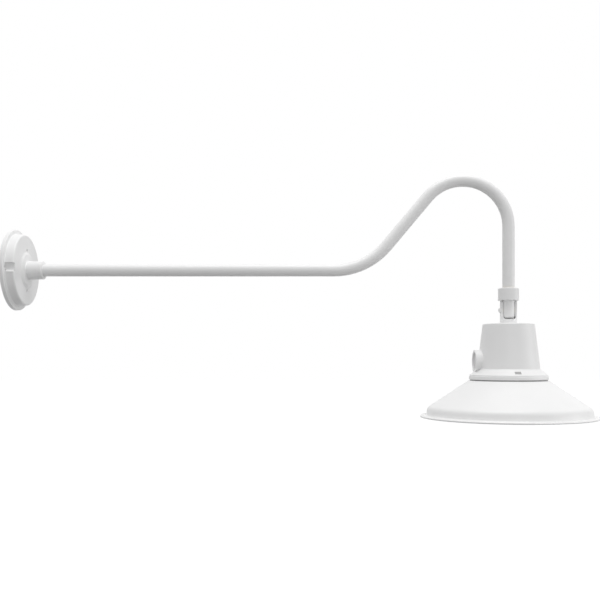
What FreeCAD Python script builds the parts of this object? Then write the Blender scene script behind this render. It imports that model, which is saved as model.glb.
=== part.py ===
import FreeCAD, Part
import math
import os
import re
import Sketcher

# Gooseneck wall sconce: a round wall plate, a bent arm of half-inch pipe size, a knuckle that
# swivels and tilts, and a lamp head with its driver housing, light engine and spun dome shade.
#
# Frame, in millimetres: +X out of the wall, +Z up, origin on the wall at the arm's own axis.
# The lamp head hangs on the vertical line X = reach, and the knuckle tilts it about a line
# along X, so the shade swings to either side of the arm.

vector = FreeCAD.Vector
doc = FreeCAD.newDocument("gooseneck_wall_sconce")

# ---------------------------------------------------------------- driving dimensions

SIZES = {
    # arm
    "reach": 863.0,
    "arm_rise": 157.0,
    "slope_angle": 50.0,
    "lower_bend": 120.0,
    "upper_bend": 80.0,
    "pipe_radius": 10.65,
    "pipe_bore": 7.9,
    "pipe_start": 9.0,
    "pipe_end": -40.0,
    "cable_radius": 3.3,
    # wall plate
    "plate_radius": 70.0,
    "rim_thick": 6.0,
    "side_radius": 62.2,
    "face_radius": 61.5,
    "face_height": 21.0,
    "face_inside": 17.5,
    "boss_radius": 31.5,
    "boss_top_radius": 27.0,
    "boss_height": 23.5,
    "hub_radius": 15.875,
    "hub_height": 50.75,
    "box_hole": 34.925,
    "ear_hole": 59.2,
    "ear_floor": 56.2,
    "ear_width": 14.0,
    "screw_hole": 2.5,
    "plate_wall": 3.0,
    "ground_across": -21.5,
    "ground_up": -13.5,
    # knuckle
    "collar_radius": 18.0,
    "collar_top": -31.4,
    "collar_bottom": -53.0,
    "thread_radius": 14.3,
    "barrel_radius": 10.5,
    "barrel_top": -42.3,
    "barrel_step": -47.5,
    "tongue_half": 10.0,
    "tongue_end": -85.2,
    "wire_bore": 6.0,
    "pivot_height": -70.0,
    "pivot_radius": 2.5,
    "washer_thick": 0.6,
    "yoke_radius": 14.6,
    "yoke_slot": 10.65,
    "ear_depth": 4.5,
    "yoke_top": -53.6,
    "saddle": -85.6,
    "bolt_seat": 14.0,
    "bolt_head": 3.2,
    "yoke_screw": 9.0,
    "wire_hole": 5.0,
    # driver housing
    "housing_top": -93.6,
    "neck_radius": 44.5,
    "cone_bottom": -172.4,
    "cone_radius": 54.0,
    "skirt_radius": 66.8,
    "skirt_edge": -182.8,
    "plate_top": -184.6,
    "housing_wall": 3.5,
    "port_height": -159.6,
    "port_radius": 20.5,
    "port_end": 60.0,
    "port_recess": 16.7,
    "recess_floor": 54.0,
    "port_thread": 13.2,
    # light engine
    "band_radius": 68.1,
    "plate_bottom": -190.8,
    "case_screws": 55.0,
    "frame_screws": 56.0,
    "gasket_radius": 66.3,
    "board_radius": 22.0,
    "board_thick": 1.6,
    "lens_radius": 47.4,
    "lens_top": -209.0,
    "lens_thick": 4.0,
    # shade
    "shade_top": -192.8,
    "shade_wall": 1.3,
    "crown_radius": 69.5,
    "shoulder_radius": 140.6,
    "shoulder_height": -240.2,
    "band_foot": 143.2,
    "band_foot_height": -254.0,
    "lip_radius": 153.3,
    "lip_height": -255.4,
    "bead_radius": 1.6,
}

sheet = doc.addObject("Spreadsheet::Sheet", "Size")
for row, (word, number) in enumerate(SIZES.items(), start=1):
    sheet.set(f"A{row}", word)
    sheet.set(f"B{row}", str(number))
    sheet.setAlias(f"B{row}", word)
doc.recompute()

# ---------------------------------------------------------------- small helpers


def bound(text):
    """An expression in which each driving dimension is read from the sheet."""

    def from_sheet(word):
        return "Size." + word[0] if word[0] in SIZES else word[0]

    return re.sub(r"[a-z][a-z_]+", from_sheet, str(text))


def value(text):
    """The present value of an expression over the sheet."""
    return float(sheet.evalExpression(bound(text)))


def new_body(label, on_head=False):
    """A body whose own axis is the row's X line, or the lamp head's vertical line."""
    body = doc.addObject("PartDesign::Body", label)
    if on_head:
        body.setExpression("Placement.Base.x", bound("reach"))
    return body


def new_sketch(body, name, role, offset=None):
    """A sketch on one of the body's own origin planes, moved along the plane's normal."""
    sketch = body.newObject("Sketcher::SketchObject", name)
    plane = next(item for item in body.Origin.OriginFeatures if item.Role == role)
    sketch.AttachmentSupport = [(plane, "")]
    sketch.MapMode = "FlatFace"
    if offset is not None:
        sketch.setExpression("AttachmentOffset.Base.z", bound(offset))
    return sketch


class Ties:
    """A sketch's constraints, added together once its geometry is in place."""

    def __init__(self, sketch):
        self.sketch = sketch
        self.rules = []
        self.texts = {}

    def rule(self, *words):
        self.rules.append(Sketcher.Constraint(*words))

    def size(self, words, text):
        self.texts[len(self.rules)] = text
        self.rule(*words, value(text))

    def point(self, item, end, place):
        self.size(("DistanceX", -1, 1, item, end), place[0])
        self.size(("DistanceY", -1, 1, item, end), place[1])

    def apply(self):
        self.sketch.addConstraint(self.rules)
        for number, text in self.texts.items():
            self.sketch.setExpression(f"Constraints[{number}]", bound(text))
        doc.recompute()


def outline(body, name, role, corners, offset=None, closed=True):
    """Straight sides through (u, v) corners; a corner's third entry rounds it to that radius."""
    sketch = new_sketch(body, name, role, offset)
    count = len(corners)
    places = [vector(value(corner[0]), value(corner[1]), 0) for corner in corners]
    rounded = [len(corner) > 2 for corner in corners]
    arrivals, departures, centres = [], [], []
    for index, here in enumerate(places):
        if not rounded[index]:
            arrivals.append(here)
            departures.append(here)
            centres.append(None)
            continue
        to_last = (places[index - 1] - here).normalize()
        to_next = (places[(index + 1) % count] - here).normalize()
        half_angle = to_last.getAngle(to_next) / 2
        radius = value(corners[index][2])
        arrivals.append(here + to_last * (radius / math.tan(half_angle)))
        departures.append(here + to_next * (radius / math.tan(half_angle)))
        centres.append(here + (to_last + to_next).normalize() * (radius / math.sin(half_angle)))
    ties = Ties(sketch)
    sides = []
    for index in range(count if closed else count - 1):
        side = Part.LineSegment(departures[index], arrivals[(index + 1) % count])
        sides.append(sketch.addGeometry(side, False))
    if not closed:
        ties.point(sides[0], 1, corners[0])
        ties.point(sides[-1], 2, corners[-1])
    for index in range(0 if closed else 1, count if closed else count - 1):
        before, after = sides[index - 1], sides[index]
        if not rounded[index]:
            ties.rule("Coincident", before, 2, after, 1)
            ties.point(after, 1, corners[index])
            continue
        arriving = places[index] - places[index - 1]
        leaving = places[(index + 1) % count] - places[index]
        turns_left = arriving.cross(leaving).z > 0
        ends = [arrivals[index], departures[index]]
        if not turns_left:
            ends.reverse()
        angles = [math.atan2(end.y - centres[index].y, end.x - centres[index].x) for end in ends]
        if angles[1] < angles[0]:
            angles[1] += 2 * math.pi
        whole = Part.Circle(centres[index], vector(0, 0, 1), value(corners[index][2]))
        arc = sketch.addGeometry(Part.ArcOfCircle(whole, *angles), False)
        corner_point = sketch.addGeometry(Part.Point(places[index]), True)
        ties.rule("Tangent", before, 2, arc, 1 if turns_left else 2)
        ties.rule("Tangent", after, 1, arc, 2 if turns_left else 1)
        ties.rule("PointOnObject", corner_point, 1, before)
        ties.rule("PointOnObject", corner_point, 1, after)
        ties.size(("Radius", arc), corners[index][2])
        ties.point(corner_point, 1, corners[index])
    ties.apply()
    for index, side in enumerate(sides):
        drift = (sketch.Geometry[side].StartPoint - departures[index]).Length
        if drift > 1e-4:
            raise RuntimeError(f"{body.Label}: {name} moved its corner {index} by {drift:.4f}")
    return sketch


def circles(body, name, role, rounds, offset=None):
    """A sketch of circles, each given as (u, v, radius)."""
    sketch = new_sketch(body, name, role, offset)
    ties = Ties(sketch)
    for across, up, radius in rounds:
        centre = vector(value(across), value(up), 0)
        ring = sketch.addGeometry(Part.Circle(centre, vector(0, 0, 1), value(radius)), False)
        ties.point(ring, 3, (across, up))
        ties.size(("Radius", ring), radius)
    ties.apply()
    return sketch


def feature(body, kind, name, sketch, length=None, axis=None, both_ways=False, flip=False):
    """A solid feature from a sketch, which has to add or cut as its kind says."""
    before = body.Shape.Volume if body.Shape and not body.Shape.isNull() else 0.0
    made = body.newObject("PartDesign::" + kind, name)
    made.Profile = sketch
    if axis:
        made.ReferenceAxis = (sketch, [axis])
        made.Angle = 360
    else:
        made.setExpression("Length", bound(length))
        made.SideType = "Symmetric" if both_ways else "One side"
    made.Reversed = flip
    doc.recompute()
    grows = kind in ("Pad", "Revolution")
    changed = body.Shape.Volume - before
    if abs(changed) < 1e-3 or (changed > 0) != grows:
        raise RuntimeError(f"{body.Label}: {name} changed the volume by {changed:.3f}")
    return made


def turned(body, name, corners, axis="V_Axis"):
    """A profile in the XZ plane turned about the body's upright axis, or another."""
    sketch = outline(body, name + "_profile", "XZ_Plane", corners)
    return feature(body, "Revolution", name, sketch, axis=axis)


def ring(label, inner, outer, top, bottom, on_head=True):
    """A flat ring about the lamp head's axis."""
    body = new_body(label, on_head)
    turned(body, label + "_ring", [(inner, bottom), (outer, bottom), (outer, top), (inner, top)])
    return body


def bolt_circle(radius, first_angle):
    """Four (u, v) places at equal angles on a circle about the head's axis."""
    for step in range(4):
        angle = first_angle + 90 * step
        yield f"({radius}) * cos({angle})", f"({radius}) * sin({angle})"


def bar(name, radius, height, base, direction=(0, 0, 1)):
    """A round bar with its foot at base, along a direction."""
    made = doc.addObject("Part::Cylinder", name)
    made.Placement.Rotation = FreeCAD.Rotation(vector(0, 0, 1), vector(*direction))
    made.setExpression("Radius", bound(radius))
    made.setExpression("Height", bound(height))
    for letter, text in zip("xyz", base):
        made.setExpression("Placement.Base." + letter, bound(text))
    return made


def six_sided(name, across_flats, height, base, direction=(0, 0, 1)):
    """A hexagonal bar or socket with its foot at base."""
    made = doc.addObject("Part::Prism", name)
    made.Polygon = 6
    made.Placement.Rotation = FreeCAD.Rotation(vector(0, 0, 1), vector(*direction))
    made.setExpression("Circumradius", bound(f"({across_flats}) / 2 / cos(30)"))
    made.setExpression("Height", bound(height))
    for letter, text in zip("xyz", base):
        made.setExpression("Placement.Base." + letter, bound(text))
    return made


def joined(name, parts):
    """Primitives fused to one solid."""
    made = doc.addObject("Part::MultiFuse", name)
    made.Shapes = parts
    made.Refine = True
    doc.recompute()
    return made


def cut(name, base, tool):
    """One primitive less another."""
    made = doc.addObject("Part::Cut", name)
    made.Base = base
    made.Tool = tool
    doc.recompute()
    return made


def group(name, parts):
    """Like pieces that share one node, each still its own solid."""
    made = doc.addObject("Part::Compound", name)
    made.Links = parts
    doc.recompute()
    return made


def screw(name, place, head, shank, drive):
    """An upright cap screw: head is (radius, from, to), shank (radius, from, to), drive a hexagon."""
    across, along = place
    spots = (f"reach + {across}", along)
    cap = bar(name + "_cap", head[0], f"({head[2]}) - ({head[1]})", (*spots, head[1]))
    stem = bar(name + "_stem", shank[0], f"({shank[2]}) - ({shank[1]})", (*spots, shank[1]))
    socket = six_sided(name + "_socket", drive[0], drive[1], (*spots, drive[2]))
    return cut(name, joined(name + "_blank", [cap, stem]), socket)


sub_parts = {}


def keep(piece, label=None):
    """Give a finished sub-part its label, which names its file."""
    if label:
        piece.Label = label
    sub_parts[piece.Label] = piece
    return piece


# ---------------------------------------------------------------- wall plate and what it holds


def make_wall_plate():
    body = new_body("wall_plate")
    turned(body, "casting", [
        ("0", "0"),
        ("0", "plate_radius"),
        ("rim_thick", "plate_radius", "1.2"),
        ("rim_thick", "side_radius", "2"),
        ("face_height", "face_radius", "3"),
        ("face_height", "boss_radius", "2"),
        ("boss_height", "boss_top_radius", "2.5"),
        ("boss_height", "hub_radius", "1.5"),
        ("hub_height - 1", "hub_radius"),
        ("hub_height", "hub_radius - 1"),
        ("hub_height", "0"),
    ], axis="H_Axis")
    hollow = outline(body, "hollow_profile", "XZ_Plane", [
        ("0", "0"),
        ("0", "side_radius - plate_wall - 0.4"),
        ("face_inside", "face_radius - plate_wall", "2.5"),
        ("face_inside", "0"),
    ])
    feature(body, "Groove", "hollow", hollow, axis="H_Axis")
    half_block = "ear_width / 2 + plate_wall"
    for side, sign in (("left", "-1"), ("right", "1")):
        block = outline(body, side + "_ear_block_face", "YZ_Plane", [
            (f"{sign} * (ear_floor - plate_wall)", f"-({half_block})"),
            (f"{sign} * 60", f"-({half_block})"),
            (f"{sign} * 60", half_block),
            (f"{sign} * (ear_floor - plate_wall)", half_block),
        ])
        feature(body, "Pad", side + "_ear_block", block, length="face_inside + 0.5")
        notch = outline(body, side + "_ear_notch_face", "YZ_Plane", [
            (f"{sign} * ear_floor", "-ear_width / 2"),
            (f"{sign} * 80", "-ear_width / 2"),
            (f"{sign} * 80", "ear_width / 2"),
            (f"{sign} * ear_floor", "ear_width / 2"),
        ], offset="rim_thick")
        feature(body, "Pocket", side + "_ear_notch", notch, length="40", flip=True)
    screws = circles(body, "screw_hole_faces", "YZ_Plane", [
        ("0", "box_hole", "screw_hole"),
        ("0", "-box_hole", "screw_hole"),
        ("ear_hole", "0", "screw_hole"),
        ("-ear_hole", "0", "screw_hole"),
    ], offset="-1")
    feature(body, "Pocket", "screw_holes", screws, length="30", flip=True)
    bore = circles(body, "bore_face", "YZ_Plane", [("0", "0", "pipe_radius + 0.05")], offset="-1")
    feature(body, "Pocket", "bore", bore, length="60", flip=True)
    ground = circles(body, "ground_hole_face", "YZ_Plane", [
        ("ground_across", "ground_up", "2.05"),
    ], offset="face_inside - 1")
    feature(body, "Pocket", "ground_hole", ground, length="5.2", flip=True)
    groove = circles(body, "gasket_groove_face", "YZ_Plane", [
        ("0", "0", "68"),
        ("0", "0", "64"),
    ], offset="-1")
    feature(body, "Pocket", "gasket_groove", groove, length="3", flip=True)
    set_screw = circles(body, "set_screw_face", "XZ_Plane", [("38", "0", "2.55")])
    feature(body, "Pocket", "set_screw_hole", set_screw, length="20")
    return keep(body)


def make_wall_gasket():
    body = new_body("wall_gasket")
    face = circles(body, "gasket_face", "YZ_Plane", [("0", "0", "67.9"), ("0", "0", "64.1")])
    feature(body, "Pad", "gasket", face, length="2")
    return keep(body)


def make_arm_locknut():
    blank = six_sided("locknut_blank", "27", "6", ("face_inside - 6", "0", "0"), (1, 0, 0))
    hole = bar("locknut_bore", "pipe_radius + 0.05", "8", ("face_inside - 7", "0", "0"), (1, 0, 0))
    return keep(cut("locknut", blank, hole), "arm_locknut")


def make_hub_set_screw():
    body_bar = bar("set_screw_bar", "2.45", "4.8", ("38", "pipe_radius + 0.15", "0"), (0, 1, 0))
    socket = six_sided("set_screw_socket", "2.5", "3", ("38", "pipe_radius + 2.95", "0"), (0, 1, 0))
    return keep(cut("set_screw", body_bar, socket), "hub_set_screw")


def make_ground_screw():
    spot = ("ground_across", "ground_up")
    head = bar("ground_head", "4.5", "2.4", ("face_inside - 2.4", *spot), (1, 0, 0))
    stem = bar("ground_stem", "1.95", "4", ("face_inside", *spot), (1, 0, 0))
    slot = doc.addObject("Part::Box", "ground_slot")
    for name, text in (("Length", "1.2"), ("Width", "10"), ("Height", "1.2")):
        slot.setExpression(name, bound(text))
    for letter, text in zip("xyz", ("face_inside - 2.6", "ground_across - 5", "ground_up - 0.6")):
        slot.setExpression("Placement.Base." + letter, bound(text))
    return keep(cut("ground_screw_cut", joined("ground_blank", [head, stem]), slot), "ground_screw")


# ---------------------------------------------------------------- arm

# The slope's line touches the upper bend's circle, whose top is arm_rise above the wall run,
# which gives the place where the slope's line would leave the wall run.
SLOPE_FOOT = (
    "(reach - upper_bend - (upper_bend + (arm_rise - upper_bend) * cos(slope_angle)) / sin(slope_angle))"
)


def arm_route(body, start, end):
    """The arm's centre line: out, up the slope, over the top and down to the knuckle."""
    return outline(body, "route", "XZ_Plane", [
        (start, "0"),
        (SLOPE_FOOT, "0", "lower_bend"),
        ("reach", f"(reach - {SLOPE_FOOT}) * tan(slope_angle)", "upper_bend"),
        ("reach", end),
    ], closed=False)


def swept(body, route, section):
    """Sweep a section along the arm's centre line."""
    pipe = body.newObject("PartDesign::AdditivePipe", "run")
    pipe.Profile = section
    pipe.Spine = route
    doc.recompute()
    return pipe


def make_arm_tube():
    body = new_body("arm_tube")
    route = arm_route(body, "pipe_start", "pipe_end")
    section = circles(body, "wall_section", "YZ_Plane", [
        ("0", "0", "pipe_radius"),
        ("0", "0", "pipe_bore"),
    ], offset="pipe_start")
    swept(body, route, section)
    return keep(body)


def make_arm_cable():
    body = new_body("arm_cable")
    route = arm_route(body, "2.5", "pivot_height + 8")
    section = circles(body, "sheath_section", "YZ_Plane", [("0", "0", "cable_radius")], offset="2.5")
    swept(body, route, section)
    return keep(body)


# ---------------------------------------------------------------- knuckle


def make_arm_bushing():
    body = new_body("arm_bushing", on_head=True)
    turned(body, "bushing", [
        ("pipe_radius + 0.05", "barrel_top + 1.3"),
        ("thread_radius", "barrel_top + 1.3"),
        ("thread_radius", "collar_top - 0.8"),
        ("thread_radius - 0.6", "collar_top - 0.2"),
        ("pipe_radius + 0.05", "collar_top - 0.2"),
    ])
    return keep(body)


def make_lock_collar():
    body = new_body("lock_collar", on_head=True)
    turned(body, "collar", [
        ("barrel_radius + 0.1", "collar_bottom"),
        ("collar_radius", "collar_bottom", "0.8"),
        ("collar_radius", "collar_top - 1.2"),
        ("collar_radius - 1.2", "collar_top"),
        ("thread_radius + 0.06", "collar_top"),
        ("thread_radius + 0.06", "barrel_step - 0.3"),
        ("barrel_radius + 0.1", "barrel_step - 0.3"),
    ])
    return keep(body)


def make_swivel_tongue():
    body = new_body("swivel_tongue", on_head=True)
    turned(body, "barrel", [
        ("wire_bore", "barrel_top"),
        ("thread_radius - 0.4", "barrel_top", "0.5"),
        ("thread_radius - 0.4", "barrel_step"),
        ("barrel_radius", "barrel_step"),
        ("barrel_radius", "barrel_step - 0.9"),
        ("barrel_radius - 1.5", "barrel_step - 0.9"),
        ("barrel_radius - 1.5", "barrel_step - 2.7"),
        ("barrel_radius", "barrel_step - 2.7"),
        ("barrel_radius", "tongue_end"),
        ("wire_bore", "tongue_end"),
    ])
    for side, sign in (("left", "-1"), ("right", "1")):
        flat = outline(body, side + "_flat_face", "XZ_Plane", [
            (f"{sign} * tongue_half", "collar_bottom + 0.5", "1"),
            (f"{sign} * tongue_half", "tongue_end", "8.5"),
            (f"{sign} * 0.1", "tongue_end"),
            (f"{sign} * 0.1", "tongue_end - 5"),
            (f"{sign} * 20", "tongue_end - 5"),
            (f"{sign} * 20", "collar_bottom + 0.5"),
        ])
        feature(body, "Pocket", side + "_flat", flat, length="60", both_ways=True)
    # The heel is round about the pivot: an arc between two lines at 45 degrees that touch it.
    heel_radius = "(pivot_height - tongue_end)"
    lines_meet = f"pivot_height - {heel_radius} * sqrt(2)"
    heel = outline(body, "heel_face", "YZ_Plane", [
        ("-20", f"{lines_meet} + 20"),
        ("0", lines_meet, heel_radius),
        ("20", f"{lines_meet} + 20"),
        ("20", f"{lines_meet} - 5"),
        ("-20", f"{lines_meet} - 5"),
    ])
    feature(body, "Pocket", "heel", heel, length="60", both_ways=True)
    pivot = circles(body, "pivot_hole_face", "YZ_Plane", [("0", "pivot_height", "pivot_radius + 0.1")])
    feature(body, "Pocket", "pivot_hole", pivot, length="60", both_ways=True)
    return keep(body)


def make_swivel_o_ring():
    body = new_body("swivel_o_ring", on_head=True)
    section = circles(body, "cord_section", "XZ_Plane", [
        ("barrel_radius - 0.75", "barrel_step - 1.8", "0.72"),
    ])
    feature(body, "Revolution", "o_ring", section, axis="V_Axis")
    return keep(body)


def make_tilt_washers():
    washers = []
    for side, start in (("left", "-tongue_half - washer_thick"), ("right", "tongue_half")):
        spot = ("reach + " + start, "0", "pivot_height")
        disc = bar(side + "_washer_disc", "4.6", "washer_thick", spot, (1, 0, 0))
        hole = bar(side + "_washer_hole", "pivot_radius + 0.1", "washer_thick", spot, (1, 0, 0))
        washers.append(cut(side + "_washer", disc, hole))
    return keep(group("washer_pair", washers), "tilt_washers")


def make_yoke():
    body = new_body("yoke", on_head=True)
    plan = circles(body, "plan_face", "XY_Plane", [("0", "0", "yoke_radius")], offset="housing_top")
    feature(body, "Pad", "post", plan, length="yoke_top - housing_top")
    ears = outline(body, "ear_waste_face", "YZ_Plane", [
        ("-20", "pivot_height - 11"),
        ("-ear_depth", "pivot_height - 11", "5"),
        ("-ear_depth", "yoke_top", "4"),
        ("ear_depth", "yoke_top", "4"),
        ("ear_depth", "pivot_height - 11", "5"),
        ("20", "pivot_height - 11"),
        ("20", "yoke_top + 5"),
        ("-20", "yoke_top + 5"),
    ])
    feature(body, "Pocket", "ears", ears, length="60", both_ways=True)
    slot = outline(body, "slot_face", "XZ_Plane", [
        ("-yoke_slot", "yoke_top + 5"),
        ("-yoke_slot", "saddle", "4"),
        ("yoke_slot", "saddle", "4"),
        ("yoke_slot", "yoke_top + 5"),
    ])
    feature(body, "Pocket", "slot", slot, length="80", both_ways=True)
    pivot = circles(body, "pivot_hole_face", "YZ_Plane", [("0", "pivot_height", "pivot_radius + 0.04")])
    feature(body, "Pocket", "pivot_hole", pivot, length="60", both_ways=True)
    seat = circles(body, "bolt_seat_face", "YZ_Plane", [("0", "pivot_height", "4.3")], offset="-bolt_seat")
    feature(body, "Pocket", "bolt_seat", seat, length="5")
    wires = circles(body, "wire_hole_face", "XY_Plane", [("0", "0", "wire_hole")], offset="housing_top - 1")
    feature(body, "Pocket", "wire_way", wires, length="20", flip=True)
    screws = circles(body, "screw_hole_face", "XY_Plane", [
        ("yoke_screw", "0", "2.1"),
        ("-yoke_screw", "0", "2.1"),
    ], offset="housing_top - 1")
    feature(body, "Pocket", "screw_holes", screws, length="7.5", flip=True)
    return keep(body)


def make_pivot_bolt():
    body = new_body("pivot_bolt", on_head=True)
    body.setExpression("Placement.Base.z", bound("pivot_height"))
    turned(body, "bolt", [
        ("-bolt_seat - bolt_head", "0"),
        ("-bolt_seat - bolt_head", "3.9", "1.4"),
        ("-bolt_seat", "3.9"),
        ("-bolt_seat", "pivot_radius"),
        ("bolt_seat - 0.6", "pivot_radius", "0.5"),
        ("bolt_seat - 0.6", "0"),
    ], axis="H_Axis")
    half_key = "3 / cos(30) / 2"
    corners = [(f"{half_key} * cos({turn})", f"{half_key} * sin({turn})") for turn in range(0, 360, 60)]
    socket = outline(body, "socket_face", "YZ_Plane", corners, offset="-bolt_seat - bolt_head - 0.1")
    feature(body, "Pocket", "socket", socket, length="1.9", flip=True)
    return keep(body)


# ---------------------------------------------------------------- driver housing


def make_housing():
    body = new_body("housing", on_head=True)
    turned(body, "casting", [
        ("0", "housing_top"),
        ("neck_radius", "housing_top", "2.2"),
        ("cone_radius", "cone_bottom", "1.5"),
        ("skirt_radius", "skirt_edge"),
        ("skirt_radius", "plate_top"),
        ("cone_radius - housing_wall", "plate_top"),
        ("cone_radius - housing_wall - 0.2", "cone_bottom"),
        ("neck_radius - housing_wall + 0.2", "housing_top - housing_wall", "3"),
        ("0", "housing_top - housing_wall"),
    ])
    port = circles(body, "port_face", "YZ_Plane", [("0", "port_height", "port_radius")], offset="-44")
    feature(body, "Pad", "port_boss", port, length="port_end - 44", flip=True)
    thread = circles(body, "port_thread_face", "YZ_Plane", [
        ("0", "port_height", "port_thread"),
    ], offset="-30")
    feature(body, "Pocket", "port_thread", thread, length="40")
    recess = circles(body, "port_recess_face", "YZ_Plane", [
        ("0", "port_height", "port_recess"),
    ], offset="-recess_floor")
    feature(body, "Pocket", "port_recess", recess, length="10")
    top_holes = circles(body, "top_hole_faces", "XY_Plane", [
        ("0", "0", "wire_hole"),
        ("yoke_screw", "0", "2.1"),
        ("-yoke_screw", "0", "2.1"),
    ], offset="housing_top + 1")
    feature(body, "Pocket", "top_holes", top_holes, length="10")
    skirt_holes = circles(body, "skirt_hole_faces", "XY_Plane", [
        (across, along, "2.0") for across, along in bolt_circle("case_screws", 45)
    ], offset="plate_top - 1")
    feature(body, "Pocket", "skirt_holes", skirt_holes, length="8", flip=True)
    return keep(body)


def make_yoke_screws():
    screws = []
    for side, across in (("left", "-yoke_screw"), ("right", "yoke_screw")):
        inside = "housing_top - housing_wall"
        screws.append(screw(
            f"{side}_yoke_screw", (across, "0"),
            head=("3.6", inside + " - 2.8", inside),
            shank=("2.0", inside + " - 1", "housing_top + 5.5"),
            drive=("3", "1.6", inside + " - 2.9")))
    return keep(group("yoke_screw_pair", screws), "yoke_screws")


def make_port_plug():
    body = new_body("port_plug", on_head=True)
    flange = circles(body, "flange_face", "YZ_Plane", [
        ("0", "port_height", "port_recess - 0.25"),
    ], offset="-recess_floor - 0.8")
    feature(body, "Pad", "flange", flange, length="2.2", flip=True)
    stem = circles(body, "stem_faces", "YZ_Plane", [
        ("0", "port_height", "port_thread - 0.1"),
        ("0", "port_height", "port_thread - 3.5"),
    ], offset="-recess_floor - 0.8")
    feature(body, "Pad", "stem", stem, length="10")
    return keep(body)


def make_port_plug_seal():
    body = new_body("port_plug_seal", on_head=True)
    face = circles(body, "seal_face", "YZ_Plane", [
        ("0", "port_height", "port_recess - 0.6"),
        ("0", "port_height", "port_thread + 0.1"),
    ], offset="-recess_floor")
    feature(body, "Pad", "seal", face, length="0.8", flip=True)
    return keep(body)


# ---------------------------------------------------------------- driver and its leads


def make_driver_bracket():
    body = new_body("driver_bracket", on_head=True)
    side = outline(body, "side_face", "XZ_Plane", [
        ("-32", "plate_top"),
        ("-14", "plate_top"),
        ("-14", "plate_top + 52"),
        ("-15.5", "plate_top + 52"),
        ("-15.5", "plate_top + 1.5", "1"),
        ("-32", "plate_top + 1.5"),
    ])
    feature(body, "Pad", "angle", side, length="24", both_ways=True)
    holes = circles(body, "foot_hole_faces", "XY_Plane", [
        ("-24", "-7", "2.1"),
        ("-24", "7", "2.1"),
    ], offset="plate_top - 1")
    feature(body, "Pocket", "foot_holes", holes, length="4", flip=True)
    return keep(body)


def make_driver_screws():
    screws = []
    for side, along in (("front", "-7"), ("rear", "7")):
        foot = "plate_top + 1.5"
        head = bar(side + "_driver_head", "3.4", "2.2", ("reach - 24", along, foot))
        stem = bar(side + "_driver_stem", "1.95", "6", ("reach - 24", along, "plate_top - 4.5"))
        socket = six_sided(side + "_driver_socket", "2.5", "1.3", ("reach - 24", along, foot + " + 1"))
        screws.append(cut(side + "_driver_screw", joined(side + "_driver_blank", [head, stem]), socket))
    return keep(group("driver_screw_pair", screws), "driver_screws")


def make_led_driver():
    body = new_body("led_driver", on_head=True)
    plan = outline(body, "case_face", "XY_Plane", [
        ("-13.9", "-14", "2.5"),
        ("30", "-14", "2.5"),
        ("30", "14", "2.5"),
        ("-13.9", "14", "2.5"),
    ], offset="plate_top + 6.6")
    feature(body, "Pad", "case", plan, length="66")
    return keep(body)


def make_head_leads():
    leads = []
    places = (("live", "-2.6", "0"), ("neutral", "1.3", "2.25"), ("earth", "1.3", "-2.25"))
    for name, across, along in places:
        base = (f"reach + {across}", along, "plate_top + 72.6")
        leads.append(bar(name + "_lead", "1.1", "saddle - plate_top - 72.6", base))
    return keep(group("head_lead_set", leads), "head_leads")


def make_led_leads():
    leads = []
    for name, along in (("plus", "-1.6"), ("minus", "1.6")):
        lead = new_body(name + "_lead_run", on_head=True)
        lead.setExpression("Placement.Base.y", bound(along))
        route = outline(lead, "route", "XZ_Plane", [
            ("27", "plate_top + 6.6"),
            ("27", "plate_bottom - board_thick - 0.85", "2.2"),
            ("board_radius - 3", "plate_bottom - board_thick - 0.85"),
        ], closed=False)
        section = circles(lead, "section", "XY_Plane", [("27", "0", "0.65")], offset="plate_top + 6.6")
        swept(lead, route, section)
        leads.append(lead)
    return keep(group("led_lead_pair", leads), "led_leads")


# ---------------------------------------------------------------- light engine


def make_heat_plate():
    body = new_body("heat_plate", on_head=True)
    turned(body, "disc", [
        ("0", "plate_bottom"),
        ("band_radius", "plate_bottom", "0.8"),
        ("band_radius", "plate_top", "0.8"),
        ("0", "plate_top"),
    ])
    groove = circles(body, "seal_groove_face", "XY_Plane", [
        ("0", "0", "62.5"),
        ("0", "0", "60"),
    ], offset="plate_top - 1.6")
    feature(body, "Pocket", "seal_groove", groove, length="5", flip=True)
    case_holes = circles(body, "case_hole_faces", "XY_Plane", [
        (across, along, "2.1") for across, along in bolt_circle("case_screws", 45)
    ], offset="plate_top + 1")
    feature(body, "Pocket", "case_holes", case_holes, length="10")
    sinks = circles(body, "head_recess_faces", "XY_Plane", [
        (across, along, "4") for across, along in bolt_circle("case_screws", 45)
    ], offset="plate_bottom + 3")
    feature(body, "Pocket", "head_recesses", sinks, length="10")
    frame_holes = circles(body, "frame_hole_faces", "XY_Plane", [
        (across, along, "1.7") for across, along in bolt_circle("frame_screws", 0)
    ], offset="plate_bottom + 5")
    feature(body, "Pocket", "frame_holes", frame_holes, length="10")
    others = circles(body, "lead_hole_faces", "XY_Plane", [
        ("27", "0", "4"),
        ("-24", "-7", "2.0"),
        ("-24", "7", "2.0"),
    ], offset="plate_top + 1")
    feature(body, "Pocket", "lead_and_bracket_holes", others, length="10")
    return keep(body)


def make_case_screws():
    screws = []
    for number, (across, along) in enumerate(bolt_circle("case_screws", 45)):
        top = "plate_bottom + 3"
        screws.append(screw(
            f"case_screw_{number}", (across, along),
            head=("3.8", "plate_bottom + 0.4", top),
            shank=("1.95", "plate_bottom + 1", "plate_top + 6"),
            drive=("3", "1.4", "plate_bottom + 0.3")))
    return keep(group("case_screw_set", screws), "case_screws")


def make_led_board():
    body = new_body("led_board", on_head=True)
    turned(body, "board", [
        ("0", "plate_bottom - board_thick"),
        ("board_radius", "plate_bottom - board_thick"),
        ("board_radius", "plate_bottom"),
        ("0", "plate_bottom"),
    ])
    return keep(body)


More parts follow.
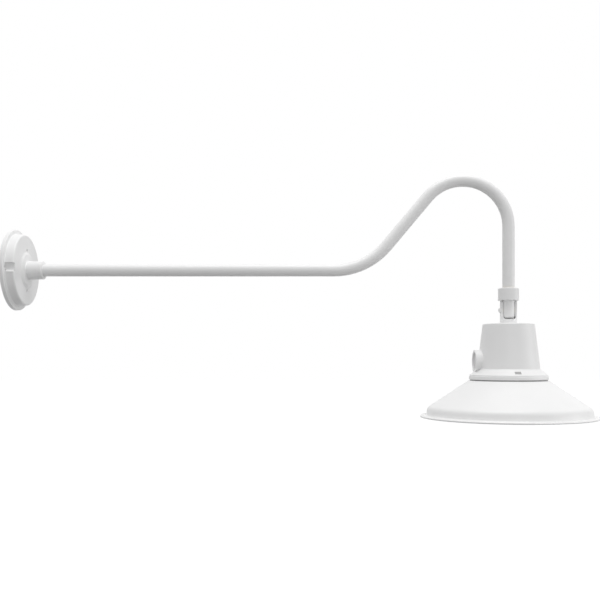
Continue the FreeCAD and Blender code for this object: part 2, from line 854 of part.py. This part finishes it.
def make_led_emitter():
    body = new_body("led_emitter", on_head=True)
    foot = "plate_bottom - board_thick"
    turned(body, "emitter", [
        ("0", foot + " - 1.2"),
        ("10", foot + " - 1.2", "0.6"),
        ("10.6", foot),
        ("0", foot),
    ])
    return keep(body)


def make_reflector():
    body = new_body("reflector", on_head=True)
    turned(body, "dish", [
        ("13", "shade_top - 0.4"),
        ("14.4", "shade_top - 0.4"),
        ("34", "lens_top + 5.6", "40"),
        ("46.6", "lens_top + 0.2"),
        ("44.9", "lens_top + 0.2"),
        ("33", "lens_top + 4.5", "40"),
    ])
    return keep(body)


def make_lens():
    body = new_body("lens", on_head=True)
    turned(body, "disc", [
        ("0", "lens_top - lens_thick"),
        ("lens_radius - 0.8", "lens_top - lens_thick"),
        ("lens_radius", "lens_top - lens_thick + 0.8"),
        ("lens_radius", "lens_top"),
        ("0", "lens_top"),
    ])
    return keep(body)


def make_lens_frame():
    body = new_body("lens_frame", on_head=True)
    seat = "lens_top - lens_thick - 1"
    under = "shade_top - shade_wall"
    turned(body, "frame", [
        ("lens_radius + 0.4", under),
        ("62", under),
        ("62", under + " - 3.5", "1"),
        ("52", under + " - 3.5", "0.8"),
        ("51", seat + " - 3.5", "1"),
        ("44.8", seat + " - 3.5", "0.8"),
        ("44.8", seat),
        ("lens_radius + 0.4", seat),
    ])
    holes = circles(body, "screw_hole_faces", "XY_Plane", [
        (across, along, "1.9") for across, along in bolt_circle("frame_screws", 0)
    ], offset="shade_top")
    feature(body, "Pocket", "screw_holes", holes, length="10")
    return keep(body)


def make_frame_screws():
    screws = []
    for number, (across, along) in enumerate(bolt_circle("frame_screws", 0)):
        seat = "shade_top - shade_wall - 3.5"
        screws.append(screw(
            f"frame_screw_{number}", (across, along),
            head=("3", seat + " - 2.2", seat),
            shank=("1.6", seat + " - 1", "plate_bottom + 4.5"),
            drive=("2.5", "1.4", seat + " - 2.3")))
    return keep(group("frame_screw_set", screws), "frame_screws")


# ---------------------------------------------------------------- shade


def inner_corner(corners, index):
    """The corner one wall thickness under the outer one, where the two inner faces meet."""
    places = [vector(value(corner[0]), value(corner[1]), 0) for corner in corners]
    before = (places[index] - places[index - 1]).normalize()
    after = (places[index + 1] - places[index]).normalize() if index + 1 < len(places) else before
    normal_in = vector(before.y, -before.x, 0)
    normal_out = vector(after.y, -after.x, 0)
    step = (normal_in + normal_out) * (1 / (1 + normal_in.dot(normal_out)))
    across, up = corners[index][0], corners[index][1]
    return f"{across} + ({step.x:.4f}) * shade_wall", f"{up} + ({step.y:.4f}) * shade_wall"


def make_shade():
    body = new_body("shade", on_head=True)
    outer = [
        ("50", "shade_top"),
        ("crown_radius", "shade_top", "3"),
        ("shoulder_radius", "shoulder_height", "13"),
        ("band_foot", "band_foot_height", "3"),
        ("lip_radius", "lip_height"),
    ]
    inner_bends = ("1.7", "11.7", "4.3")
    inner = [inner_corner(outer, 4)]
    for index, bend in zip((3, 2, 1), reversed(inner_bends)):
        inner.append((*inner_corner(outer, index), bend))
    inner.append(("50", "shade_top - shade_wall"))
    turned(body, "spinning", outer + inner)
    bead = circles(body, "bead_section", "XZ_Plane", [
        ("lip_radius - 0.9", "lip_height - 0.3", "bead_radius"),
    ])
    feature(body, "Revolution", "rolled_bead", bead, axis="V_Axis")
    holes = circles(body, "screw_hole_faces", "XY_Plane", [
        (across, along, "1.9") for across, along in bolt_circle("frame_screws", 0)
    ], offset="shade_top + 1")
    feature(body, "Pocket", "screw_holes", holes, length="4")
    return keep(body)


def make_shade_gasket():
    body = ring("shade_gasket", "50", "gasket_radius", "plate_bottom", "shade_top")
    holes = circles(body, "screw_hole_faces", "XY_Plane", [
        (across, along, "2") for across, along in bolt_circle("frame_screws", 0)
    ], offset="plate_bottom + 1")
    feature(body, "Pocket", "screw_holes", holes, length="10")
    return keep(body)


# ---------------------------------------------------------------- build, test and write

for make in (
    make_wall_plate, make_wall_gasket, make_arm_locknut, make_hub_set_screw, make_ground_screw,
    make_arm_tube, make_arm_cable, make_arm_bushing, make_lock_collar, make_swivel_tongue,
    make_swivel_o_ring, make_tilt_washers, make_yoke, make_pivot_bolt, make_yoke_screws,
    make_housing, make_port_plug, make_port_plug_seal, make_led_driver, make_driver_bracket,
    make_driver_screws, make_head_leads, make_led_leads, make_heat_plate, make_case_screws,
    make_led_board, make_led_emitter, make_reflector, make_lens, make_lens_frame,
    make_frame_screws, make_shade, make_shade_gasket,
):
    make()
keep(ring(
    "swivel_washer", "pipe_radius + 0.4", "thread_radius - 0.4", "barrel_top + 1.3", "barrel_top + 0.3"
))
keep(ring("case_seal", "60.1", "62.4", "plate_top", "plate_top - 1.6"))
keep(ring("lens_gasket", "45.4", "lens_radius", "lens_top - lens_thick", "lens_top - lens_thick - 1"))

doc.recompute()
for item in doc.Objects:
    if {"Invalid", "Error"} & set(item.State):
        raise RuntimeError(f"{item.Label} did not build: {item.State}")
for name, piece in sub_parts.items():
    if piece.Shape.isNull() or not piece.Shape.isValid() or not piece.Shape.Solids:
        raise RuntimeError(f"{name} has no valid solid")

os.makedirs("parts", exist_ok=True)
for name, piece in sub_parts.items():
    piece.Shape.exportStep(f"parts/{name}.step")
print(f"{len(sub_parts)} sub-parts written")
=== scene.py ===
import math

import bmesh
import bpy
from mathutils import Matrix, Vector


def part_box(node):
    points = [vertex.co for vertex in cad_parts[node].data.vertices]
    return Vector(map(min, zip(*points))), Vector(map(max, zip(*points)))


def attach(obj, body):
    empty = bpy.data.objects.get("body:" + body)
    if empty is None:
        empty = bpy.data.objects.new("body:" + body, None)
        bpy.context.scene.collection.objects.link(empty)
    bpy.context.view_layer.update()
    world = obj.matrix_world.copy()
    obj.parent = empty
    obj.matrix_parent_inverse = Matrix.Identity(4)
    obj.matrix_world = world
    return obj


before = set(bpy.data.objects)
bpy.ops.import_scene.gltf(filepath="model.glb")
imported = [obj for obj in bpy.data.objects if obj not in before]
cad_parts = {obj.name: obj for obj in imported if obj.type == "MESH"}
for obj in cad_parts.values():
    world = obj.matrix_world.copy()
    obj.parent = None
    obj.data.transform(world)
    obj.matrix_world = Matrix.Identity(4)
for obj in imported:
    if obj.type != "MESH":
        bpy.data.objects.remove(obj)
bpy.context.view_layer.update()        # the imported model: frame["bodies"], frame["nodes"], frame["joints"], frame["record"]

bl_info = {
    "name": "Gooseneck Wall Sconce",
    "version": (1, 0, 0),
    "blender": (4, 5, 0),
    "location": "3D View > Sidebar > Sconce",
    "description": "Finishes a gooseneck wall sconce piece by piece and sets it on a plain pale stage",
    "category": "Object",
}

MM = 0.001


def middle(node):
    """The middle of a CAD node's box, in metres."""
    low, high = (Vector(corner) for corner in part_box(node))
    return (low + high) / 2


HEAD_AXIS = middle("shade").x        # the lamp head hangs on the upright line at this X


def linear(code):
    """An sRGB hex colour as linear red, green and blue."""
    values = [int(code[place:place + 2], 16) / 255 for place in (1, 3, 5)]
    return tuple(v / 12.92 if v <= 0.04045 else ((v + 0.055) / 1.055) ** 2.4 for v in values)


# ------------------------------------------------------------------ what a user would change


def colour(name, description, code):
    """A colour setting that starts from an sRGB hex code."""
    return bpy.props.FloatVectorProperty(
        name=name, description=description, subtype="COLOR", size=3, min=0, max=1, default=linear(code))


def length(name, description, metres):
    """A length setting of at least 0, in metres."""
    return bpy.props.FloatProperty(
        name=name, description=description, unit="LENGTH", min=0, default=metres, precision=5)


class SconceColours(bpy.types.PropertyGroup):
    paint: colour("Powder coat", "White coat on the arm, castings and shade", "#EDEDED")
    rubber: colour("Rubber", "Black seals and gaskets", "#232323")
    grey_cap: colour("Grey cap", "Moulded plug in the side port", "#E6E6E6")
    silicone: colour("Grey silicone", "Gasket between the light engine and the shade", "#A2A2A2")
    mark: colour("Blank mark", "Empty printed patch on the housing's slope", "#A7A7A7")
    glass: colour("Glass", "Flat cover glass", "#F2F8F6")
    phosphor: colour("Phosphor", "Gel over the light source", "#E9C44A")


class SconceSizes(bpy.types.PropertyGroup):
    peel_spacing: length("Coat texture", "Distance between the coat's soft ripples", 1.6 * MM)
    peel_height: length("Coat ripple height", "Height of the coat's soft ripples", 0.004 * MM)
    spin_spacing: length("Spinning marks", "Distance between the shade's turned rings", 2.2 * MM)
    mark_width: length("Mark width", "Width of the blank patch", 10.8 * MM)
    mark_height: length("Mark height", "Height of the blank patch along the slope", 6.6 * MM)


class SconceStage(bpy.types.PropertyGroup):
    camera_distance: length("Camera distance", "From the lens to the arm's upright plane", 1.395)
    camera_height: bpy.props.FloatProperty(
        name="Camera height", description="Above the arm's wall run", unit="LENGTH", default=-0.150)
    camera_across: length("Camera across", "From the wall to the lens", 0.533)
    focal_pixels: bpy.props.FloatProperty(
        name="Focal length", description="In pixels of a frame 600 pixels wide", default=797.6, min=1)
    floor_drop: length("Floor drop", "From the arm's wall run down to the floor", 1.1)
    horizon: bpy.props.FloatProperty(
        name="Horizon", description="Soft light from the sides", default=0.67, min=0)
    zenith: bpy.props.FloatProperty(
        name="Zenith", description="Soft light from straight above", default=0.81, min=0)


# ------------------------------------------------------------------ nodes and materials


def add_node(tree, kind, inputs=None, **settings):
    """Add a shader node, set it up and fill or link its inputs."""
    made = tree.nodes.new(kind)
    for name, setting in settings.items():
        setattr(made, name, setting)
    for name, given in (inputs or {}).items():
        if isinstance(given, bpy.types.NodeSocket):
            tree.links.new(given, made.inputs[name])
        else:
            made.inputs[name].default_value = given
    return made


def new_material(name):
    """A material with an empty node tree and its output."""
    material = bpy.data.materials.new(name)
    material.use_nodes = True
    tree = material.node_tree
    tree.nodes.clear()
    return material, tree, add_node(tree, "ShaderNodeOutputMaterial")


def finish_material(tree, output, **sockets):
    """Put one Principled shader on a material's output."""
    names = {
        "color": "Base Color", "metallic": "Metallic", "roughness": "Roughness", "ior": "IOR",
        "normal": "Normal", "transmission": "Transmission Weight", "subsurface": "Subsurface Weight",
    }
    inputs = {names[word]: given for word, given in sockets.items()}
    shader = add_node(tree, "ShaderNodeBsdfPrincipled", inputs)
    tree.links.new(shader.outputs["BSDF"], output.inputs["Surface"])


def place_in_object(tree):
    """Coordinates in metres that move with the piece."""
    return add_node(tree, "ShaderNodeTexCoord").outputs["Object"]


def mottled(tree, where, spacing, low, high, detail=3.0):
    """A soft noise of a real spacing, stretched between two values."""
    noise = add_node(tree, "ShaderNodeTexNoise", {
        "Vector": where, "Scale": 1 / spacing, "Detail": detail})
    spread = add_node(tree, "ShaderNodeMapRange", {
        "Value": noise.outputs["Fac"], "From Min": 0.3, "From Max": 0.7, "To Min": low, "To Max": high})
    return spread.outputs["Result"]


def bumped(tree, height, distance, under=None):
    """A normal raised by a height between 0 and 1 times a real distance."""
    inputs = {"Height": height, "Distance": distance, "Strength": 1.0}
    if under is not None:
        inputs["Normal"] = under
    return add_node(tree, "ShaderNodeBump", inputs).outputs["Normal"]


def tinted(tree, base, amount, factor):
    """A colour that a factor between 0 and 1 darkens by up to an amount."""
    dark = tuple(channel * (1 - amount) for channel in base)
    mix = add_node(tree, "ShaderNodeMix", {0: factor, 6: (*dark, 1), 7: (*base, 1)}, data_type="RGBA")
    return mix.outputs[2]


def powder_coat(name, colours, sizes, spun=False):
    """Polyester powder coat, sprayed and baked: satin, with the soft ripples of orange peel.

    On spun metal the roller's rings still show faintly under the coat.
    """
    material, tree, output = new_material(name)
    where = place_in_object(tree)
    ripple = mottled(tree, where, sizes.peel_spacing, 0, 1, detail=1.0)
    normal = bumped(tree, ripple, sizes.peel_height)
    if spun:
        ring_height = 0.004 * MM
        moved = add_node(tree, "ShaderNodeMapping", {"Vector": where, "Location": (-HEAD_AXIS, 0, 0)})
        flat = add_node(tree, "ShaderNodeSeparateXYZ", {"Vector": moved.outputs["Vector"]})
        across = add_node(tree, "ShaderNodeMath", {
            0: flat.outputs["X"], 1: flat.outputs["X"]}, operation="MULTIPLY")
        both = add_node(tree, "ShaderNodeMath", {
            0: flat.outputs["Y"], 1: flat.outputs["Y"], 2: across.outputs[0]}, operation="MULTIPLY_ADD")
        radius = add_node(tree, "ShaderNodeMath", {0: both.outputs[0]}, operation="SQRT")
        turns = add_node(tree, "ShaderNodeMath", {
            0: radius.outputs[0], 1: 2 * math.pi / sizes.spin_spacing}, operation="MULTIPLY")
        rings = add_node(tree, "ShaderNodeMath", {0: turns.outputs[0]}, operation="SINE")
        normal = bumped(tree, rings.outputs[0], ring_height, under=normal)
    patches = mottled(tree, where, 55 * MM, 0, 1)
    finish_material(
        tree, output,
        color=tinted(tree, colours.paint, 0.02, patches),
        roughness=mottled(tree, where, 18 * MM, 0.33, 0.43),
        ior=1.5,
        normal=normal)
    return material


def moulded_rubber(name, base):
    """Moulded rubber: dull, with a fine grain and a faint bloom."""
    material, tree, output = new_material(name)
    where = place_in_object(tree)
    bloom = mottled(tree, where, 6 * MM, 0, 1)
    finish_material(
        tree, output,
        color=tinted(tree, base, 0.2, bloom),
        roughness=mottled(tree, where, 4 * MM, 0.62, 0.8),
        ior=1.52,
        normal=bumped(tree, mottled(tree, where, 0.5 * MM, 0, 1), 0.02 * MM))
    return material


def plated_metal(name, code, roughness, spread, spacing):
    """Plated or polished hardware: a bare metal with faint handling marks."""
    material, tree, output = new_material(name)
    where = place_in_object(tree)
    finish_material(
        tree, output,
        color=tinted(tree, linear(code), 0.12, mottled(tree, where, spacing * 3, 0, 1)),
        metallic=1.0,
        roughness=mottled(tree, where, spacing, roughness, roughness + spread),
        normal=bumped(tree, mottled(tree, where, spacing / 4, 0, 1), 0.004 * MM))
    return material


def moulded_plastic(name, base, low, high, grain=0.7 * MM, ior=1.49):
    """Injection-moulded plastic: an even body colour and the fine spark-eroded grain of its mould."""
    material, tree, output = new_material(name)
    where = place_in_object(tree)
    finish_material(
        tree, output,
        color=tinted(tree, base, 0.06, mottled(tree, where, 12 * MM, 0, 1)),
        roughness=mottled(tree, where, 5 * MM, low, high),
        ior=ior,
        normal=bumped(tree, mottled(tree, where, grain, 0, 1), 0.015 * MM))
    return material


def solder_mask():
    """White epoxy mask over an aluminium board: smooth, slightly glossy, faintly mottled."""
    return moulded_plastic("White_solder_mask", linear("#E8E9E6"), 0.28, 0.36, grain=1.2 * MM, ior=1.55)


def phosphor_gel(colours):
    """Silicone gel full of phosphor: soft yellow that light sinks into a little."""
    material, tree, output = new_material("Phosphor_silicone_cast")
    where = place_in_object(tree)
    finish_material(
        tree, output,
        color=tinted(tree, colours.phosphor, 0.1, mottled(tree, where, 1.2 * MM, 0, 1)),
        roughness=mottled(tree, where, 2 * MM, 0.25, 0.35),
        subsurface=0.2,
        ior=1.41)
    return material


def cover_glass(colours):
    """Tempered float glass: clear, with a little dust on it."""
    material, tree, output = new_material("Tempered_glass_float")
    where = place_in_object(tree)
    finish_material(
        tree, output,
        color=tinted(tree, colours.glass, 0.03, mottled(tree, where, 20 * MM, 0, 1)),
        roughness=mottled(tree, where, 8 * MM, 0.02, 0.09),
        transmission=1.0,
        ior=1.52)
    return material


def printed_patch(colours):
    """Pad-printed ink on the coat: flat grey, a touch duller than the paint round it."""
    return moulded_plastic("Grey_pad_print", colours.mark, 0.5, 0.6, grain=0.9 * MM)


def dress(material, *nodes):
    """Give CAD nodes a material in every slot."""
    for name in nodes:
        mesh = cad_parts[name].data
        if not mesh.materials:
            mesh.materials.append(material)
        for slot in range(len(mesh.materials)):
            mesh.materials[slot] = material


def skin_rings(bm, rings):
    """Join rings of vertices, one to the next, and close both ends."""
    for near, far in zip(rings, rings[1:]):
        for one in range(len(near)):
            two = (one + 1) % len(near)
            bm.faces.new((near[one], near[two], far[two], far[one]))
    bm.faces.new(rings[0][::-1])
    bm.faces.new(rings[-1])
    bmesh.ops.recalc_face_normals(bm, faces=bm.faces)


def new_piece(name, bm, material, body):
    """A finished mesh piece that rides on a body."""
    mesh = bpy.data.meshes.new(name)
    bm.to_mesh(mesh)
    bm.free()
    mesh.materials.append(material)
    piece = bpy.data.objects.new(name, mesh)
    bpy.context.scene.collection.objects.link(piece)
    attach(piece, body)


# ------------------------------------------------------------------ operators


class SCONCE_OT_wall_plate(bpy.types.Operator):
    """Coat the wall plate and finish its gasket and screws"""
    bl_idname = "sconce.wall_plate"
    bl_label = "Wall plate"

    def execute(self, context):
        scene = context.scene
        coat = powder_coat("White_powder_coat_casting", scene.sconce_colours, scene.sconce_sizes)
        dress(coat, "wall_plate")
        dress(moulded_rubber("EPDM_rubber_wall", scene.sconce_colours.rubber), "wall_gasket")
        dress(plated_metal("Zinc_plated_steel", "#C4C6C8", 0.28, 0.14, 3 * MM), "arm_locknut")
        dress(plated_metal("Stainless_steel_turned", "#C2C1BE", 0.24, 0.12, 2 * MM), "hub_set_screw")
        dress(plated_metal("Green_dyed_steel", "#2F8F47", 0.3, 0.15, 2 * MM), "ground_screw")
        self.edge_notches(coat)
        return {"FINISHED"}

    def edge_notches(self, coat):
        """A thin sloped lip on the lower edge of each notch in the plate's side, to catch the light.

        Its measures are in millimetres. A station is a distance from the wall, with the share of the
        lip's full reach that it has there.
        """
        rim_front, face_front, face_round = 6, 21, 3
        side_radius, side_taper, half_notch = 62.2, 0.7, 7
        reach, sunk, tip_height = 1.3, 0.1, -8.7
        head_in, head_height, head_drop = 0.9, -5.2, 1.4
        back_in, back_height = 1.1, -7.2
        root_in, root_height = 0.8, -9.3
        stations = ((8, 0.5), (8.5, 1), (13, 1), (18, 1), (19.2, 1), (20, 1), (20.6, 0.6))
        bm = bmesh.new()
        for side in (-1, 1):
            rings = []
            for station, share in stations:
                into_round = max(station - (face_front - face_round), 0)
                drop = face_round - math.sqrt(face_round ** 2 - into_round ** 2)
                taper = side_taper * (station - rim_front) / (face_front - rim_front)
                radius = side_radius - taper - drop
                edge = math.sqrt(radius ** 2 - half_notch ** 2)
                profile = (
                    (edge + reach * share - sunk, tip_height),
                    (edge - head_in, head_height - head_drop * (1 - share)),
                    (edge - back_in, back_height),
                    (edge - root_in, root_height))
                rings.append([bm.verts.new((station * MM, side * y * MM, z * MM)) for y, z in profile])
            skin_rings(bm, rings)
        new_piece("notch_lips", bm, coat, "arm")


class SCONCE_OT_arm(bpy.types.Operator):
    """Coat the bent arm and finish the cable inside it"""
    bl_idname = "sconce.arm"
    bl_label = "Arm"

    def execute(self, context):
        scene = context.scene
        coat = powder_coat("White_powder_coat_tube", scene.sconce_colours, scene.sconce_sizes)
        dress(coat, "arm_tube")
        dress(moulded_plastic("Black_PVC_sheath", linear("#202122"), 0.42, 0.55), "arm_cable")
        return {"FINISHED"}


class SCONCE_OT_knuckle(bpy.types.Operator):
    """Coat the collar, tongue and yoke and finish what turns between them"""
    bl_idname = "sconce.knuckle"
    bl_label = "Knuckle"

    def execute(self, context):
        scene = context.scene
        coat = powder_coat("White_powder_coat_knuckle", scene.sconce_colours, scene.sconce_sizes)
        dress(coat, "lock_collar", "swivel_tongue", "yoke", "pivot_bolt")
        # Dull brass, toned darker than bright brass so that the bushing seen in the collar's gap reads
        # as a shadow line: part brass colour, part painted shade
        dress(plated_metal("Brass_turned_darkened_as_gap_shade", "#A08A58", 0.36, 0.14, 2 * MM), "arm_bushing")
        nylon = moulded_plastic("Natural_nylon_moulded", linear("#E6E2D3"), 0.38, 0.5)
        dress(nylon, "swivel_washer", "tilt_washers")
        dress(moulded_rubber("Nitrile_rubber_cord", scene.sconce_colours.rubber), "swivel_o_ring")
        self.close_back(coat)
        return {"FINISHED"}

    def close_back(self, coat):
        """A low wall behind the yoke's saddle that shuts the gap under the tongue's heel.

        Its top is round about the pivot, so the heel clears it over the whole tilt.
        """
        pivot = middle("pivot_bolt").z
        post_radius, sweep, half_width = 14.55 * MM, 15.5 * MM, 10.7 * MM
        reach_in, foot, top, sunk = 6 * MM, 16.2 * MM, 10.5 * MM, 0.02 * MM
        columns, steps = 24, 8
        bm = bmesh.new()
        rings = []
        for column in range(columns + 1):
            across = half_width * (2 * column / columns - 1)
            outside = math.sqrt(post_radius ** 2 - across ** 2)
            end = min(math.sqrt(sweep ** 2 - top ** 2), outside - sunk)
            profile = [(reach_in, -foot)]
            for step in range(steps + 1):
                depth = reach_in + (end - reach_in) * step / steps
                profile.append((depth, -math.sqrt(sweep ** 2 - depth ** 2)))
            profile += [(outside, profile[-1][1]), (outside, -foot)]
            rings.append([bm.verts.new((HEAD_AXIS + across, y, pivot + z)) for y, z in profile])
        skin_rings(bm, rings)
        new_piece("yoke_back_wall", bm, coat, "head")


class SCONCE_OT_housing(bpy.types.Operator):
    """Coat the driver housing and finish its plug, screws and driver"""
    bl_idname = "sconce.housing"
    bl_label = "Driver housing"

    def execute(self, context):
        scene = context.scene
        colours = scene.sconce_colours
        coat = powder_coat("White_powder_coat_housing", colours, scene.sconce_sizes)
        dress(coat, "housing", "heat_plate")
        dress(moulded_plastic("Grey_nylon_moulded", colours.grey_cap, 0.45, 0.6), "port_plug")
        dress(moulded_rubber("EPDM_rubber_seals", colours.rubber), "port_plug_seal", "case_seal")
        dress(moulded_rubber("Grey_silicone_sheet", colours.silicone), "shade_gasket")
        steel = plated_metal("Stainless_steel_rolled", "#C2C1BE", 0.24, 0.12, 2 * MM)
        dress(steel, "yoke_screws", "driver_screws", "case_screws")
        dress(plated_metal("Zinc_plated_sheet", "#C4C6C8", 0.3, 0.14, 5 * MM), "driver_bracket")
        dress(moulded_plastic("White_ABS_moulded", linear("#E4E4DF"), 0.35, 0.45), "led_driver")
        sleeve = moulded_plastic("Black_silicone_lead", linear("#2A2A2B"), 0.5, 0.62)
        dress(sleeve, "head_leads", "led_leads")
        return {"FINISHED"}


class SCONCE_OT_mark(bpy.types.Operator):
    """Lay the blank printed patch on the housing's slope"""
    bl_idname = "sconce.mark"
    bl_label = "Blank mark"

    def execute(self, context):
        scene = context.scene
        sizes = scene.sconce_sizes
        foot_radius, top_radius = 66.8 * MM, 54.0 * MM
        foot_height, top_height = -182.8 * MM, -172.4 * MM
        run = math.hypot(foot_radius - top_radius, top_height - foot_height)
        middle_at, off_centre = 0.42, 1.6 * MM
        half_along = sizes.mark_height / run / 2
        lift = 0.05 * MM
        bm = bmesh.new()
        columns, rows = 16, 4
        grid = []
        for row in range(rows + 1):
            along = middle_at - half_along + 2 * half_along * row / rows
            radius = foot_radius + (top_radius - foot_radius) * along + lift
            height = foot_height + (top_height - foot_height) * along + lift
            line = []
            for column in range(columns + 1):
                turn = (column / columns - 0.5) * sizes.mark_width / radius
                across = HEAD_AXIS + off_centre + radius * math.sin(turn)
                line.append(bm.verts.new((across, -radius * math.cos(turn), height)))
            grid.append(line)
        for row in range(rows):
            for column in range(columns):
                corners = (grid[row][column], grid[row][column + 1],
                           grid[row + 1][column + 1], grid[row + 1][column])
                bm.faces.new(corners)
        new_piece("blank_mark", bm, printed_patch(scene.sconce_colours), "head")
        return {"FINISHED"}


class SCONCE_OT_light_engine(bpy.types.Operator):
    """Finish the board, emitter, reflector, glass and frame"""
    bl_idname = "sconce.light_engine"
    bl_label = "Light engine"

    def execute(self, context):
        scene = context.scene
        colours = scene.sconce_colours
        dress(solder_mask(), "led_board")
        dress(phosphor_gel(colours), "led_emitter")
        dress(plated_metal("Anodised_aluminium_bright", "#DADBDC", 0.14, 0.1, 6 * MM), "reflector")
        dress(cover_glass(colours), "lens")
        dress(moulded_rubber("EPDM_rubber_lens", colours.rubber), "lens_gasket")
        dress(powder_coat("White_powder_coat_frame", colours, scene.sconce_sizes), "lens_frame")
        dress(plated_metal("Stainless_steel_screws", "#C2C1BE", 0.24, 0.12, 2 * MM), "frame_screws")
        return {"FINISHED"}


class SCONCE_OT_shade(bpy.types.Operator):
    """Coat the spun shade"""
    bl_idname = "sconce.shade"
    bl_label = "Shade"

    def execute(self, context):
        scene = context.scene
        coat = powder_coat("White_powder_coat_spun", scene.sconce_colours, scene.sconce_sizes, spun=True)
        dress(coat, "shade")
        return {"FINISHED"}


class SCONCE_OT_stage(bpy.types.Operator):
    """Set the floor, the light and the camera"""
    bl_idname = "sconce.stage"
    bl_label = "Stage"

    def execute(self, context):
        scene = context.scene
        stage = scene.sconce_stage
        self.set_floor(stage)
        self.set_world(scene, stage)
        self.set_lamps()
        self.set_camera(scene, stage)
        scene.view_settings.view_transform = "Standard"
        return {"FINISHED"}

    def seen_straight(self, tree):
        """1 for what the camera sees, also in a gloss or through glass; 0 for light on the pieces."""
        path = add_node(tree, "ShaderNodeLightPath")
        seen = add_node(tree, "ShaderNodeMath", {
            0: path.outputs["Is Camera Ray"], 1: path.outputs["Is Glossy Ray"]}, operation="MAXIMUM")
        seen = add_node(tree, "ShaderNodeMath", {
            0: seen.outputs[0], 1: path.outputs["Is Transmission Ray"]}, operation="MAXIMUM")
        return seen.outputs[0]

    def set_floor(self, stage):
        """A wide floor that looks white and throws little light back up."""
        half_floor, dull_grey, pale_grey, glow_strength = 30, 0.30, 0.9, 0.35
        bm = bmesh.new()
        bmesh.ops.create_grid(bm, x_segments=1, y_segments=1, size=half_floor)
        mesh = bpy.data.meshes.new("floor")
        bm.to_mesh(mesh)
        bm.free()
        floor = bpy.data.objects.new("floor", mesh)
        floor.location = (HEAD_AXIS / 2, 0, -stage.floor_drop)
        bpy.context.scene.collection.objects.link(floor)
        material, tree, output = new_material("Pale_floor")
        dull = add_node(tree, "ShaderNodeBsdfDiffuse", {"Color": (dull_grey, dull_grey, dull_grey, 1)})
        pale = add_node(tree, "ShaderNodeBsdfDiffuse", {"Color": (pale_grey, pale_grey, pale_grey, 1)})
        glow = add_node(tree, "ShaderNodeEmission", {"Color": (1, 1, 1, 1), "Strength": glow_strength})
        lit = add_node(tree, "ShaderNodeAddShader", {0: pale.outputs[0], 1: glow.outputs[0]})
        mix = add_node(tree, "ShaderNodeMixShader", {
            0: self.seen_straight(tree), 1: dull.outputs[0], 2: lit.outputs[0]})
        tree.links.new(mix.outputs[0], output.inputs["Surface"])
        mesh.materials.append(material)

    def set_world(self, scene, stage):
        """Soft light that changes from the horizon up, behind a plain white backdrop."""
        world = bpy.data.worlds.new("Soft_studio")
        scene.world = world
        world.use_nodes = True
        tree = world.node_tree
        tree.nodes.clear()
        output = add_node(tree, "ShaderNodeOutputWorld")
        direction = add_node(tree, "ShaderNodeTexCoord").outputs["Generated"]
        parts = add_node(tree, "ShaderNodeSeparateXYZ", {"Vector": direction})
        level = add_node(tree, "ShaderNodeMapRange", {
            "Value": parts.outputs["Z"], "To Min": stage.horizon, "To Max": stage.zenith})
        plain = (1, 1, 1, 1)
        light = add_node(tree, "ShaderNodeBackground", {
            "Color": plain, "Strength": level.outputs["Result"]})
        white = add_node(tree, "ShaderNodeBackground", {"Color": plain, "Strength": 1.0})
        mix = add_node(tree, "ShaderNodeMixShader", {
            0: self.seen_straight(tree), 1: light.outputs[0], 2: white.outputs[0]})
        tree.links.new(mix.outputs[0], output.inputs["Surface"])

    def set_lamps(self):
        """A wide soft lamp above, one that looks along the arm to the wall, and one in front."""
        for name, width, height, watts, place, tilt in (
                ("overhead", 1.6, 1.2, 17.5, (0.6, -0.2, 1.9), (6, 0, 0)),
                ("side", 2.0, 2.0, 22.5, (4.2, -0.6, 0.0), (0, 90, -10)),
                ("front", 1.6, 1.2, 5.8, (0.6, -3.0, 0.3), (84, 0, 0))):
            lamp = bpy.data.lights.new(name, "AREA")
            lamp.shape = "RECTANGLE"
            lamp.size, lamp.size_y = width, height
            lamp.energy = watts
            holder = bpy.data.objects.new(name, lamp)
            holder.location = place
            holder.rotation_euler = [math.radians(angle) for angle in tilt]
            bpy.context.scene.collection.objects.link(holder)

    def set_camera(self, scene, stage):
        """A level camera square to the arm; the photograph's axis is a little off its middle."""
        frame_width = 600
        axis_across, axis_down = 319.8, 356.1
        camera = bpy.data.cameras.new("camera")
        camera.sensor_width = 36
        camera.lens = stage.focal_pixels / frame_width * camera.sensor_width
        camera.shift_x = (frame_width / 2 - axis_across) / frame_width
        camera.shift_y = (axis_down - frame_width / 2) / frame_width
        camera.clip_end = 100
        holder = bpy.data.objects.new("camera", camera)
        holder.location = (stage.camera_across, -stage.camera_distance, stage.camera_height)
        holder.rotation_euler = (math.radians(90), 0, 0)
        scene.collection.objects.link(holder)
        scene.camera = holder


class SCONCE_PT_panel(bpy.types.Panel):
    """The sconce's pieces, in the order in which they are made"""
    bl_idname = "SCONCE_PT_panel"
    bl_label = "Wall sconce"
    bl_space_type = "VIEW_3D"
    bl_region_type = "UI"
    bl_category = "Sconce"

    def draw(self, context):
        for group in GROUPS:
            settings = getattr(context.scene, group)
            for name in settings.__annotations__:
                self.layout.prop(settings, name)
        for operator in OPERATORS:
            self.layout.operator(operator.bl_idname)


GROUPS = {"sconce_colours": SconceColours, "sconce_sizes": SconceSizes, "sconce_stage": SconceStage}
OPERATORS = (
    SCONCE_OT_wall_plate, SCONCE_OT_arm, SCONCE_OT_knuckle, SCONCE_OT_housing, SCONCE_OT_mark,
    SCONCE_OT_light_engine, SCONCE_OT_shade, SCONCE_OT_stage)


def register():
    for group in (*GROUPS.values(), *OPERATORS, SCONCE_PT_panel):
        bpy.utils.register_class(group)
    for name, group in GROUPS.items():
        setattr(bpy.types.Scene, name, bpy.props.PointerProperty(type=group))


def unregister():
    for name in GROUPS:
        delattr(bpy.types.Scene, name)
    for group in reversed((*GROUPS.values(), *OPERATORS, SCONCE_PT_panel)):
        bpy.utils.unregister_class(group)


def main():
    register()
    for operator in OPERATORS:
        family, name = operator.bl_idname.split(".")
        getattr(getattr(bpy.ops, family), name)()


if __name__ == "__main__":
    main()
